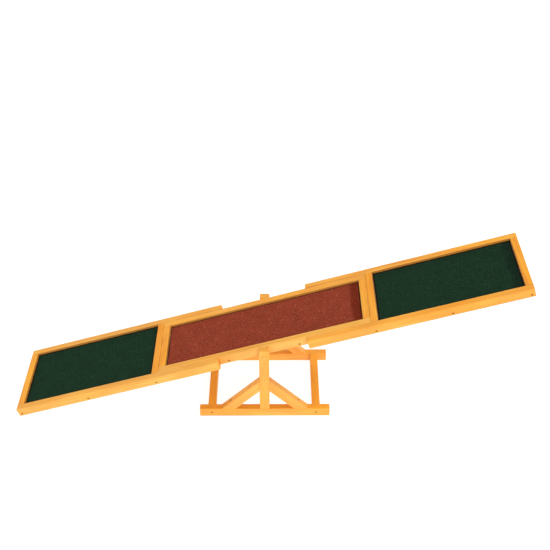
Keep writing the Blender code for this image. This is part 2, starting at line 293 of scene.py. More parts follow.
def threaded_rings(start, end, core, thread, pitch, steps, point=0.0):
    """Rings of a thread from start to end, tapering to a point over the last stretch."""
    count = int((end - start) / pitch * THREAD_STEPS)
    rings = []
    for step in range(count + 1):
        distance = start + (end - start) * step / count
        taper = min(1.0, (end - distance) / point + POINT_SHARE) if point else 1.0
        grow = min(1.0, (distance - start) / pitch)
        rings.append(turned_ring(distance, core * taper, steps, thread * taper * grow, pitch))
    return rings


def new_object(name, data, matrix):
    made = bpy.data.objects.new(name, data)
    made.matrix_world = matrix
    bpy.context.scene.collection.objects.link(made)
    return made


def merged(name, meshes):
    """One mesh of several; each keeps its own material's number, first to last."""
    joined = bmesh.new()
    for number, mesh in enumerate(meshes):
        before = len(joined.faces)
        joined.from_mesh(mesh)
        joined.faces.ensure_lookup_table()
        for face in joined.faces[before:]:
            face.material_index = number
        bpy.data.meshes.remove(mesh)
    mesh = bpy.data.meshes.new(name)
    joined.to_mesh(mesh)
    joined.free()
    return mesh


def cut_away(pieces_and_cutters):
    """Cut each object by its cutter mesh, which is in the object's own frame, all in one evaluation."""
    cutters = []
    for piece, cutter_mesh in pieces_and_cutters:
        cutter = new_object(f"{piece.name}_cutter", cutter_mesh, piece.matrix_world.copy())
        removal = piece.modifiers.new("cut", "BOOLEAN")
        removal.operation = "DIFFERENCE"
        removal.solver = "EXACT"
        removal.object = cutter
        cutters.append(cutter)
    depsgraph = bpy.context.evaluated_depsgraph_get()
    results = [bpy.data.meshes.new_from_object(piece.evaluated_get(depsgraph))
               for piece, _ in pieces_and_cutters]
    for (piece, _), result in zip(pieces_and_cutters, results):
        piece.modifiers.clear()
        piece.data = result
    for cutter in cutters:
        bpy.data.objects.remove(cutter)


def points_of(mesh):
    points = np.empty(len(mesh.vertices) * 3)
    mesh.vertices.foreach_get("co", points)
    return points.reshape(-1, 3)


def store(mesh, name, *columns):
    """Keep three numbers for each point, as a vector that the materials read."""
    attribute = mesh.attributes.new(name, "FLOAT_VECTOR", "POINT")
    attribute.data.foreach_set("vector", np.stack(columns, axis=1).astype(np.float32).ravel())


def store_grain(mesh, shift):
    """Places in the piece's own frame, shifted so that no two pieces show the same pattern."""
    store(mesh, "grain", *(points_of(mesh) + shift).T)


def smooth(mesh, sharp_degrees):
    mesh.shade_smooth()
    mesh.set_sharp_from_angle(angle=radians(sharp_degrees))


def dress(piece, body, materials, node=None):
    """Give a piece its materials and its place in the frame's table."""
    if len(materials) == 1:
        piece.data.materials.clear()        # this also gives every face the first material
    for material in materials:
        piece.data.materials.append(material)
    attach(piece, body)
    if node:
        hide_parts(node)


# ---- Timber ----

def straight_timber(node):
    """A timber along one of its body's axes. A post stands on its first end."""
    low, high = local_box(node)
    axis = max(range(3), key=lambda index: high[index] - low[index])
    butted = node.endswith(("end_rail", "batten")) or node in ("left_ground_rail", "right_ground_rail")
    if butted or node.endswith("post"):
        low[axis] -= JOINT_CLOSING
    if butted:
        high[axis] += JOINT_CLOSING
    size = high - low
    up_axis = 0 if axis == 2 else 2
    axes = Matrix.Identity(3)
    place = placement((low + high) / 2, axes[axis], axes[up_axis])
    end = BUTTED_END_RADIUS if butted else FREE_END_RADIUS
    ends = (BUTTED_END_RADIUS, end) if node.endswith("post") else (end, end)
    return Timber(node, body_of(node), place, size[axis], size[3 - axis - up_axis], size[up_axis],
                  (0.0, 0.0), ends)


def brace_timber(node, stock):
    """A brace's own frame lies along its centre line, and both its ends are mitred."""
    low, high = local_box(node)
    sign = 1 if "right" in node else -1
    along = Vector((sign, 0, -1)).normalized()
    up = Vector((sign, 0, 1)).normalized()
    centre = (low + high) / 2 - up * stock / 2
    upper_length = hypot(high[0] - low[0], high[2] - low[2]) + 2 * sqrt(2) * JOINT_CLOSING
    return Timber(node, body_of(node), placement(centre, along, up), upper_length - stock,
                  high[1] - low[1], stock, (-BRACE_SLOPE, BRACE_SLOPE), (BUTTED_END_RADIUS,) * 2)


def all_timbers():
    low, high = local_box("front_ground_rail")
    stock = high[2] - low[2]
    straight = [straight_timber(node) for node in nodes_ending("_rail", "_post", "_batten")]
    return straight + [brace_timber(node, stock) for node in nodes_ending("_brace")]


def section(half_y, half_z, radii, inset):
    """(y, z) points round a timber, each long edge rounded to its own radius, all moved in by inset."""
    strips = [max(2, round(2 * half / FACE_STRIP)) for half in (half_y, half_z)]
    corners = []
    for quarter, (way_y, way_z) in enumerate(((1, 1), (-1, 1), (-1, -1), (1, -1))):
        radius = radii[quarter]
        centre = (way_y * (half_y - radius), way_z * (half_z - radius))
        angles = [pi / 2 * (quarter + step / CORNER_STEPS) for step in range(CORNER_STEPS + 1)]
        reach = max(radius - inset, radius * LEAST_EDGE)
        corners.append([(centre[0] + reach * cos(a), centre[1] + reach * sin(a)) for a in angles])
    points = []
    for quarter, corner in enumerate(corners):
        start, end = np.array(corner[-1]), np.array(corners[(quarter + 1) % 4][0])
        count = strips[quarter % 2]
        points += corner + [tuple(start + (end - start) * step / count) for step in range(1, count)]
    return points


def ring_stops(length, end_radii):
    """(share of the length, distance from the end, inset) for each ring of a timber."""
    turns = [pi / 2 - pi / 2 * step / CORNER_STEPS for step in range(CORNER_STEPS)]
    first, last = ([(share, way * radius * (1 - sin(turn)), radius * (1 - cos(turn))) for turn in turns]
                   for share, way, radius in ((0.0, 1, end_radii[0]), (1.0, -1, end_radii[1])))
    count = max(4, round(length / FACE_STRIP))
    low, high = end_radii[0] / length, 1 - end_radii[1] / length
    middle = [(low + (high - low) * step / count, 0.0, 0.0) for step in range(count + 1)]
    return first + middle + last[::-1]


def timber_mesh(timber, strip_scale=1.0, edge_radius=EDGE_RADIUS, wear=EDGE_WEAR):
    """A planed and lightly sanded timber in its own frame."""
    half_y, half_z = timber.width / 2, timber.height / 2
    phase = random.uniform(-50, 50)
    rings = []
    for share, shift, inset in ring_stops(timber.length / strip_scale, timber.end_radii):
        centre_x = timber.length * (share - 0.5)
        radii = [edge_radius * (1 + wear * noise.noise((centre_x / EDGE_WEAR_LENGTH, phase, 7.0 * corner)))
                 for corner in range(4)]
        ring = []
        for y, z in section(half_y, half_z, radii, inset):
            start = -timber.length / 2 + timber.slopes[0] * z
            end = timber.length / 2 + timber.slopes[1] * z
            x = start + (end - start) * share + shift
            wave = noise.noise(Vector((x, y, z)) / FACE_WAVE_LENGTH + Vector((phase, 0, 0)))
            hollow = FACE_WAVE * (0.5 + 0.5 * wave)
            ring.append((x, y * (1 - hollow / half_y), z * (1 - hollow / half_z)))
        rings.append(ring)
    return rings_mesh(timber.name, rings)


def turned_cutter(profile, steps, place):
    mesh = rings_mesh("cutter", turned_rings(profile, steps))
    mesh.transform(place)
    return mesh


def screw_bore(screw):
    """The countersunk hole of a screw, in its body's frame."""
    room = SCREW_ROOM
    outer = SCREW_HEAD_RADIUS + room
    profile = [(-SCREW_SUNK - 3 * CUT_MARGIN, outer), (SCREW_HEAD_RIM + room, outer),
               (SCREW_HEAD_DEPTH + room, SCREW_RADIUS + room),
               (screw.length - SCREW_POINT / 2, SCREW_RADIUS + room),
               (screw.length + CUT_MARGIN, SCREW_RADIUS / 2)]
    return turned_cutter(profile, SMALL_STEPS, screw_place(screw))


def pin_knot_pit(centre, direction):
    """A shallow pit where a small dead knot has fallen out."""
    profile = [(-CUT_MARGIN, PIN_KNOT_RADIUS), (PIN_KNOT_DEPTH, PIN_KNOT_RADIUS * 0.7)]
    return turned_cutter(profile, SMALL_STEPS, placement(centre, direction))


def pivot_hole(side, node, room):
    """The pivot bolt's hole right through a timber, with room round the bolt."""
    low, high = local_box(node)
    depth = high[1] - low[1] + 2 * CUT_MARGIN
    profile = [(distance, BOLT_RADIUS + room) for distance in (0.0, depth)]
    bolt_centre = BODY_FRAMES[body_of(node)].inverted() @ local_centre(f"{side}_pivot_bolt")
    mouth = (bolt_centre[0], low[1] - CUT_MARGIN, bolt_centre[2])
    return turned_cutter(profile, SMALL_STEPS * 2, placement(mouth, (0, 1, 0)))


def groove_cutter(section_name):
    """A deck board with the gap that the rails' grooves leave round it."""
    low, high = local_box(f"{section_name}_deck_board")
    room = Vector((FIT_GAP,) * 3)
    low, high = low - room, high + room
    block = bmesh.new()
    bmesh.ops.create_cube(block, size=1.0, matrix=Matrix.LocRotScale((low + high) / 2, None, high - low))
    mesh = bpy.data.meshes.new("cutter")
    block.to_mesh(mesh)
    block.free()
    return mesh


def framing(section_name):
    """The four rails round a deck section."""
    sides = [f"{section_name}_{side}_side_rail" for side, _ in SIDES]
    if section_name == "centre":
        return sides + ["centre_left_end_rail", "centre_right_end_rail"]
    return sides + [f"{section_name}_outer_end_rail", f"{section_name}_inner_end_rail"]


def cutters_by_timber(screws):
    """Lists of cutter meshes, in body frames, for each timber that anything is cut into."""
    cutters = defaultdict(list)
    for screw in screws:
        for name in screw.timbers:
            cutters[name].append(screw_bore(screw))
    for section_name in DECK_SECTIONS:
        for name in framing(section_name):
            cutters[name].append(groove_cutter(section_name))
    for side, _ in SIDES:
        for name, room in ((f"{side}_post", FIT_GAP), (f"centre_{side}_side_rail", 2 * FIT_GAP)):
            cutters[name].append(pivot_hole(side, name, room))
    for name, centre, direction in pin_knots():
        cutters[name].append(pin_knot_pit(centre, direction))
    return cutters


def store_stain_and_light(mesh, timber):
    """How deeply this timber has taken the stain, the same at all its points; it also carries painted sheen
    and painted shade.
    """
    depth = next(depth for word, depth in STAIN_AND_LIGHT_DEPTHS if word in timber.name)
    depth += random.uniform(-STAIN_SPREAD, STAIN_SPREAD)
    store(mesh, "stain", *np.full((3, len(mesh.vertices)), depth))


def sheet_side(timber):
    """Which side of a deck rail, in its own y, faces its section's sheet: 1, -1, or 0 for other timbers."""
    section_name = timber.name.split("_")[0]
    if section_name not in DECK_SECTIONS or timber.name not in framing(section_name):
        return 0
    sheet_centre = timber.place.inverted() @ local_centre(f"{section_name}_grip_sheet")
    return 1 if sheet_centre[1] > 0 else -1


def store_wear_and_shade(mesh, timber):
    """How near each point is to an end (x) and to a long edge (y), and how dark it is (z).

    Holes and the rails' faces round the sheets get painted shade, and the joints between end rails are
    darkened."""
    x, y, z = points_of(mesh).T
    from_end = np.minimum(x + timber.length / 2 - timber.slopes[0] * z,
                          timber.length / 2 + timber.slopes[1] * z - x)
    from_side, from_top = timber.width / 2 - abs(y), timber.height / 2 - abs(z)
    ending = np.clip(1 - from_end / END_GRAIN_DEPTH, 0, 1)
    arris = np.clip(1 - np.maximum(from_side, from_top) / (EDGE_RADIUS * 0.9), 0, 1)
    # Painted shade on the walls of holes, pits and grooves, which lie inside the timber's box.
    inside = np.minimum(np.minimum(from_side, from_top), from_end)
    dark = np.clip(inside / SHADE_DEPTH - 0.5, 0, 1)
    # Painted shade on the rail's face towards its sheet.
    from_sheet = timber.width / 2 - y * sheet_side(timber)
    dark = np.maximum(dark, SHEET_SIDE_SHADE * np.clip(1.2 - from_sheet / SHADE_DEPTH, 0, 1))
    if timber.name in JOINT_SIDES:
        from_joint = timber.width / 2 - y * JOINT_SIDES[timber.name]
        patches = [noise.noise((along / JOINT_PATCH_LENGTH, 5.0, len(timber.name))) for along in x]
        middle, contrast = JOINT_PATCHES
        seam_darkness = JOINT_DARKNESS * np.clip(middle + contrast * np.array(patches), 0, 1)
        dark = np.maximum(dark, seam_darkness * np.clip(1.5 - from_joint / SHADE_DEPTH, 0, 1))
    store(mesh, "wear", ending, arris, dark)


def build_timbers(screws, material):
    timbers = all_timbers()
    cutters = cutters_by_timber(screws)
    pieces, jobs = [], []
    for timber in timbers:
        matrix = BODY_FRAMES[timber.body] @ timber.place
        piece = new_object(f"{timber.name}_piece", timber_mesh(timber), matrix)
        pieces.append(piece)
        if timber.name in cutters:
            cutter = merged("cutter", cutters[timber.name])
            cutter.transform(timber.place.inverted())
            jobs.append((piece, cutter))
    cut_away(jobs)
    for timber, piece in zip(timbers, pieces):
        bearing = random.uniform(0, 2 * pi)
        distance = random.uniform(*PITH_DISTANCE)
        shift = (random.uniform(-9, 9), distance * cos(bearing), distance * sin(bearing))
        store_grain(piece.data, shift)
        store_wear_and_shade(piece.data, timber)
        store_stain_and_light(piece.data, timber)
        smooth(piece.data, SMOOTH_ANGLE)
        dress(piece, timber.body, [material], timber.name)


# ---- Deck ----

def build_boards(material):
    for node in nodes_ending("_deck_board"):
        low, high = local_box(node)
        size = high - low
        place = placement((low + high) / 2, (1, 0, 0))
        board = Timber(node, body_of(node), place, *size, (0.0, 0.0), (BOARD_EDGE_RADIUS,) * 2)
        mesh = timber_mesh(board, BOARD_STRIP / FACE_STRIP, BOARD_EDGE_RADIUS, 0.0)
        store_grain(mesh, (random.uniform(-9, 9), random.uniform(-9, 9), 0.0))
        smooth(mesh, SMOOTH_ANGLE)
        piece = new_object(f"{node}_piece", mesh, BODY_FRAMES[board.body] @ board.place)
        dress(piece, board.body, [material], node)


def waves(x, y, length, seed):
    """Smooth noise over a grid of points, from about -1 to 1, with waves of about that length."""
    values = [noise.noise((a / length, b / length, seed)) for a, b in zip(x.ravel(), y.ravel())]
    return np.array(values).reshape(x.shape)


def felt_mesh(name, size, selvage):
    """Mineral felt lying from z = 0 to its thickness: loose granules on a slightly buckled sheet.

    Where the flag is set, the sheet's right end is marked for a painted shadow cast by its end rail."""
    columns, rows = (max(2, round(length / GRANULE)) for length in size[:2])
    x, y = np.meshgrid(np.linspace(-0.5, 0.5, columns + 1) * size[0],
                       np.linspace(-0.5, 0.5, rows + 1) * size[1], indexing="ij")
    inner = np.zeros(x.shape, bool)
    inner[1:-1, 1:-1] = True
    stray = random.uniform(-1, 1, (2, *x.shape)) * GRANULE * GRANULE_SHIFT * inner
    relief = random.beta(*GRANULE_HEIGHTS, x.shape) * GRANULE_RELIEF
    seed = random.uniform(-50, 50)
    buckle = waves(x, y, FELT_BUCKLE_LENGTH, seed)
    z = size[2] - GRANULE_RELIEF - FELT_BUCKLE + relief + FELT_BUCKLE * buckle
    wander = FELT_EDGE_WANDER * waves(x, y, FELT_EDGE_WANDER_LENGTH, seed + 9)
    shrink = 1 - np.where(inner, 0.0, abs(wander) / (size[1] / 2))
    top = np.stack([(x + stray[0]) * shrink, (y + stray[1]) * shrink, z], axis=-1)
    number = np.arange(x.size).reshape(x.shape)
    rim = np.concatenate([number[:-1, 0], number[-1, :-1], number[:0:-1, -1], number[0, :0:-1]])
    below = top.reshape(-1, 3)[rim] * np.array([1, 1, 0])
    vertices = np.concatenate([top.reshape(-1, 3), below, [[0.0, 0.0, 0.0]]])
    faces = []
    turned_cells = random.random(x.shape) < 0.5
    for i in range(columns):
        for j in range(rows):
            a, b, c, d = number[i, j], number[i + 1, j], number[i + 1, j + 1], number[i, j + 1]
            faces += [(a, b, d), (b, c, d)] if turned_cells[i, j] else [(a, b, c), (a, c, d)]
    first_below = x.size
    centre = first_below + len(rim)
    for step in range(len(rim)):
        following = (step + 1) % len(rim)
        under, next_under = first_below + step, first_below + following
        faces.append((rim[following], rim[step], under, next_under))
        faces.append((next_under, under, centre))
    mesh = bpy.data.meshes.new(name)
    mesh.from_pydata(vertices.tolist(), [], [tuple(int(corner) for corner in face) for face in faces])
    x, y, _ = points_of(mesh).T
    border = np.minimum(size[0] / 2 - abs(x), size[1] / 2 - abs(y))
    store(mesh, "felt", x + seed, y, border)
    from_shadowed_end = size[0] / 2 - x if selvage else np.ones(len(x))
    store(mesh, "selvage", *[from_shadowed_end] * 3)
    return mesh


def build_felts(green, red):
    for node in nodes_ending("_grip_sheet"):
        low, high = local_box(node)
        middle = (low + high) / 2
        mesh = felt_mesh(f"{node}_piece", high - low, not node.startswith("left"))
        matrix = BODY_FRAMES[body_of(node)] @ Matrix.Translation((middle[0], middle[1], low[2]))
        piece = new_object(f"{node}_piece", mesh, matrix)
        slot, material = ("red_grip", red) if node.startswith("centre") else ("green_grip", green)
        dress(piece, body_of(node), [material], node)


# ---- Fasteners ----

def screw_place(screw):
    up = (1, 0, 0) if screw.direction[2] else (0, 0, 1)
    return placement(screw.head, screw.direction, up)


def cad_screw(node):
    """A screw of the CAD model. It runs inwards along y, or outwards if it joins two sections."""
    low, high = local_box(node)
    way = 1 if "back" in node else -1
    direction = way if "joining" in node else -way
    head = (low + high) / 2
    head[1] = low[1] if direction > 0 else high[1]
    hand = "left" if "left" in node else "right"
    side = "back" if way > 0 else "front"
    if "ground" in node:
        timbers = (f"{side}_ground_rail", f"{hand}_ground_rail")
    elif "joining" in node:
        timbers = (f"centre_{side}_side_rail", f"{hand}_{side}_side_rail")
    else:
        kind = node.split("_")[2]
        crosspiece = "deck_batten" if kind == "batten" else f"{kind}_end_rail"
        timbers = (f"{hand}_{side}_side_rail", f"{hand}_{crosspiece}")
    return Screw(f"{node}_piece", node, body_of(node), head, (0, direction, 0), high[1] - low[1], timbers)


def extra_screws():
    """Screws that the CAD model has no nodes for."""
    plank_height = local_centre("left_front_outer_screw")[2]
    for side, way in SIDES:
        face = outer_and_inner(f"centre_{side}_side_rail", way)[0][1]
        depth = local_centre(f"{side}_ground_rail")[1]
        for hand, sign in HANDS:
            head = (local_centre(f"centre_{hand}_batten")[0], face - way * SCREW_SUNK, plank_height)
            yield Screw(f"{side}_{hand}_centre_batten_screw", None, "plank", head, (0, -way, 0),
                        CENTRE_SCREW_LENGTH, (f"centre_{side}_side_rail", f"centre_{hand}_batten"))
            low, high = local_box(f"{side}_{hand}_brace")
            inner, outer = (low[0], high[0]) if sign > 0 else (high[0], low[0])
            head = (inner + (outer - inner) * BRACE_SCREW_SHARE, depth,
                    high[2] + (low[2] - high[2]) * BRACE_SCREW_SHARE - BRACE_SCREW_SUNK)
            yield Screw(f"{side}_{hand}_brace_screw", None, "stand", head, (0, 0, -1),
                        BRACE_SCREW_LENGTH, (f"{side}_{hand}_brace", f"{side}_ground_rail"))
            yield Screw(f"{side}_{hand}_post_screw", None, "stand", (sign * POST_SCREW_X, depth, SCREW_SUNK),
                        (0, 0, 1), POST_SCREW_LENGTH, (f"{side}_ground_rail", f"{side}_post"))


def pin_knots():
    """(timber, centre on its face, direction into the wood) of the small knot pits on the front post, which
    painted shade darkens.
    """
    post_low, _ = local_box("front_post")
    return [("front_post", (0, post_low[1], height), (0, 1, 0)) for height in POST_KNOT_HEIGHTS]


def cross_recess():
    """The cutter for a cross-head drive, tapering into the head."""
    rings = []
    for distance, reach, half in RECESS_STOPS:
        corners = []
        for quarter in range(4):
            c, s = cos(pi / 2 * quarter), sin(pi / 2 * quarter)
            corners += [(distance, y * c - z * s, y * s + z * c)
                        for y, z in ((reach, -half), (reach, half), (half, half))]
        rings.append(corners)
    return rings_mesh("recess", rings)


def screw_mesh(length):
    """A countersunk screw: a head with a cross recess, a plain shank, and a thread down to the point."""
    head = SCREW_HEAD_RADIUS
    core = SCREW_RADIUS * SCREW_CORE
    steps = SMALL_STEPS * 2
    profile = [(0.0, head - 0.0002), (0.00012, head), (SCREW_HEAD_RIM, head),
               (SCREW_HEAD_DEPTH, core * 1.15), (SCREW_HEAD_DEPTH + 0.0006, core)]
    rings = turned_rings(profile, steps)
    rings += threaded_rings(SCREW_HEAD_DEPTH + SCREW_PLAIN, length - 0.0002, core, SCREW_RADIUS - core,
                            SCREW_PITCH, steps, SCREW_POINT)
    piece = new_object("screw_pattern", rings_mesh("screw", rings), Matrix.Identity(4))
    cut_away([(piece, cross_recess())])
    mesh = piece.data
    bpy.data.objects.remove(piece)
    return mesh


def build_screws(screws, material):
    patterns = {}
    for screw in screws:
        length = round(screw.length, 4)
        if length not in patterns:
            patterns[length] = screw_mesh(length)
        mesh = patterns[length].copy()
        turn = Matrix.Rotation(random.uniform(0, pi / 2), 4, "X")
        store_grain(mesh, random.uniform(-9, 9, 3))
        smooth(mesh, METAL_ANGLE)
        piece = new_object(screw.name, mesh, BODY_FRAMES[screw.body] @ screw_place(screw) @ turn)
        dress(piece, screw.body, [material], screw.node)
    for mesh in patterns.values():
        bpy.data.meshes.remove(mesh)


def bolt_mesh(head_height, head_radius, length):
    """A carriage bolt: domed head, plain shank, and a thread at its tail."""
    profile = [(-head_height * (0.22 * (angle > 0) + 0.78 * sin(angle)), head_radius * cos(angle))
               for angle in (radians(degrees) for degrees in (88, 75, 60, 45, 30, 15, 0))]
    profile += [(-0.0002, head_radius), (0.0, head_radius - 0.0003), (0.0, BOLT_RADIUS),
                (length - BOLT_THREAD - 0.001, BOLT_RADIUS)]
    rings = turned_rings(profile, ROUND_STEPS)
    rings += threaded_rings(length - BOLT_THREAD, length - 0.0005, BOLT_ROOT, BOLT_RADIUS - BOLT_ROOT,
                            BOLT_PITCH, ROUND_STEPS)
    rings.append(turned_ring(length, BOLT_ROOT * 0.92, ROUND_STEPS))
    return rings_mesh("bolt", rings)


def washer_mesh(inner, outer, thickness):
    """A stamped washer: its upper edges are drawn round and its lower ones left sharp."""
    soft = thickness * 0.35
    profile = [(0.0, inner), (0.0, outer), (thickness - soft, outer),
               (thickness - soft * 0.3, outer - soft * 0.3), (thickness, outer - soft),
               (thickness, inner + soft), (thickness - soft, inner)]
    return rings_mesh("washer", turned_rings(profile, ROUND_STEPS), loop=True)


def nut_meshes(flats, height):
    """A lock nut with its nylon insert, as two meshes."""
    def hexagon(limit):
        """The nut's radius by angle, with its corners turned down to the limit."""
        return lambda angle: min(flats / 2 / cos((angle + pi / 6) % (pi / 3) - pi / 6), limit)

    hole = BOLT_RADIUS + FIT_GAP
    top = height * 0.68
    collar = flats * 0.46
    pocket = hole + 0.0007
    profile = [(0.0, hexagon(flats * 0.49)), (height * 0.06, hexagon(flats)),
               (top - height * 0.07, hexagon(flats)), (top, hexagon(flats * 0.485)),
               (top + 0.0001, collar), (height * 0.92, collar * 0.985),
               (height, collar * 0.90), (height, pocket + 0.0002), (height * 0.97, pocket),
               (height * 0.75, pocket), (height * 0.75, hole), (0.0003, hole), (0.0, hole + 0.0003)]
    body = rings_mesh("nut", turned_rings(profile, ROUND_STEPS * 3 // 2), loop=True)
    profile = [(height * 0.76, hole), (height * 0.76, pocket - 0.00005), (height * 0.95, pocket - 0.00005),
               (height * 0.93, hole)]
    return [body, rings_mesh("insert", turned_rings(profile, ROUND_STEPS), loop=True)]


def add_pivot_piece(node, mesh, start, way, *materials):
    centre = local_centre(node)
    turn = Matrix.Rotation(random.uniform(0, pi), 4, "X")
    store_grain(mesh, random.uniform(-9, 9, 3))
    smooth(mesh, METAL_ANGLE)
    place = placement((centre[0], start, centre[2]), (0, -way, 0)) @ turn
    piece = new_object(f"{node}_piece", mesh, BODY_FRAMES[body_of(node)] @ place)
    dress(piece, body_of(node), materials, node)


def build_pivots(steel, nylon):
    """On each side, a bolt through the post and the rail, with a spacer washer, a nut washer and a nut."""
    for side, way in SIDES:
        node = f"{side}_pivot_bolt"
        head_end, tail_end = outer_and_inner(node, way)
        under_head = abs(outer_and_inner(f"{side}_post", way)[0][1]) + FIT_GAP
        mesh = bolt_mesh(abs(head_end[1]) - under_head, abs(head_end[2] - tail_end[2]) / 2,
                         under_head - abs(tail_end[1]))
        add_pivot_piece(node, mesh, way * under_head, way, steel)
        for node in (f"{side}_spacer_washer", f"{side}_nut_washer", f"{side}_pivot_nut"):
            outer, inner = outer_and_inner(node, way)
            wide, thick, high = (abs(extent) for extent in outer - inner)
            if node.endswith("nut"):
                mesh = merged("nut", nut_meshes(min(wide, high), thick))
                add_pivot_piece(node, mesh, outer[1], way, steel, nylon)
            else:
                mesh = washer_mesh(BOLT_RADIUS + FIT_GAP, high / 2, thick)
                add_pivot_piece(node, mesh, outer[1], way, steel)


# ---- Materials ----

class Shader:
    """The nodes of a material or a world. Each method adds a node and returns the output wanted from it."""

    def __init__(self, name, kind="materials", surface="Principled BSDF"):
        self.holder = getattr(bpy.data, kind).new(name)
        self.holder.use_nodes = True
        self.tree = self.holder.node_tree
        self.surface = self.tree.nodes[surface]

    def link(self, socket, value):
        if isinstance(value, bpy.types.NodeSocket):
            self.tree.links.new(value, socket)
        else:
            socket.default_value = value

    def node(self, kind, inputs, **settings):
        made = self.tree.nodes.new(f"ShaderNode{kind}")
        for setting, value in settings.items():
            setattr(made, setting, value)
        for socket, value in inputs.items():
            self.link(made.inputs[socket], value)
        return made

    def attribute(self, name):
        return self.node("Attribute", {}, attribute_name=name).outputs["Vector"]

    def split(self, vector):
        return self.node("SeparateXYZ", {0: vector}).outputs

    def join(self, x, y, z):
        return self.node("CombineXYZ", {0: x, 1: y, 2: z}).outputs[0]

    def maths(self, operation, first, second=0.0, clamp=False):
        made = self.node("Math", {0: first, 1: second}, operation=operation, use_clamp=clamp)
        return made.outputs[0]

    def times(self, first, second):
        return self.maths("MULTIPLY", first, second)

    def plus(self, first, second, clamp=False):
        return self.maths("ADD", first, second, clamp)

    def vectors(self, operation, first, second=(0.0, 0.0, 0.0)):
        made = self.node("VectorMath", {0: first, 1: second}, operation=operation)
        return made.outputs["Value" if operation == "LENGTH" else "Vector"]

    def noise(self, vector, scales, detail=2.0, roughness=0.5, wanted="Fac"):
        """Noise with about so many features in a metre along x, y and z."""
        spread = self.vectors("MULTIPLY", vector, scales)
        made = self.node("TexNoise", {0: spread, "Scale": 1.0, "Detail": detail, "Roughness": roughness})
        return made.outputs[wanted]

    def cells(self, vector, scales):
        """Distance to the nearest cell's centre, in cells, and the cell's own random number."""
        spread = self.vectors("MULTIPLY", vector, scales)
        made = self.node("TexVoronoi", {"Vector": spread, "Scale": 1.0})
        return made.outputs["Distance"], self.split(made.outputs["Color"])[0]

    def fit(self, value, low, high, to_low=0.0, to_high=1.0):
        """The value carried over from the first range to the second, and held at its ends."""
        return self.node("MapRange", {0: value, 1: low, 2: high, 3: to_low, 4: to_high}).outputs[0]

    def ramp(self, factor, stops):
        made = self.node("ValToRGB", {0: factor})
        elements = made.color_ramp.elements
        elements[0].position, elements[0].color = stops[0][0], colour(stops[0][1])
        elements[1].position, elements[1].color = stops[-1][0], colour(stops[-1][1])
        for position, value in stops[1:-1]:
            elements.new(position).color = colour(value)
        return made.outputs["Color"]

    def mix(self, factor, first, second, blend="MIX"):
        colours = {6: colour(first), 7: colour(second)}     # the node's sockets for colours
        return self.node("Mix", {0: factor, **colours}, data_type="RGBA", blend_type=blend).outputs[2]

    def tint(self, base, tints):
        return self.mix(1.0, base, tints, "MULTIPLY")

    def bump(self, height, strength, distance):
        made = self.node("Bump", {"Strength": strength, "Distance": distance, "Height": height})
        self.link(self.surface.inputs["Normal"], made.outputs[0])

    def finish(self, **inputs):
        """Set the surface's inputs; an underscore in a name stands for a space."""
        for name, value in inputs.items():
            self.link(self.surface.inputs[name.replace("_", " ")], value)
        return self.holder


def colour(value):
    """A socket as it is, a grey from one number, or a colour from three."""
    if isinstance(value, bpy.types.NodeSocket):
        return value
    if isinstance(value, (int, float)):
        return (value, value, value, 1.0)
    return (*value, 1.0)


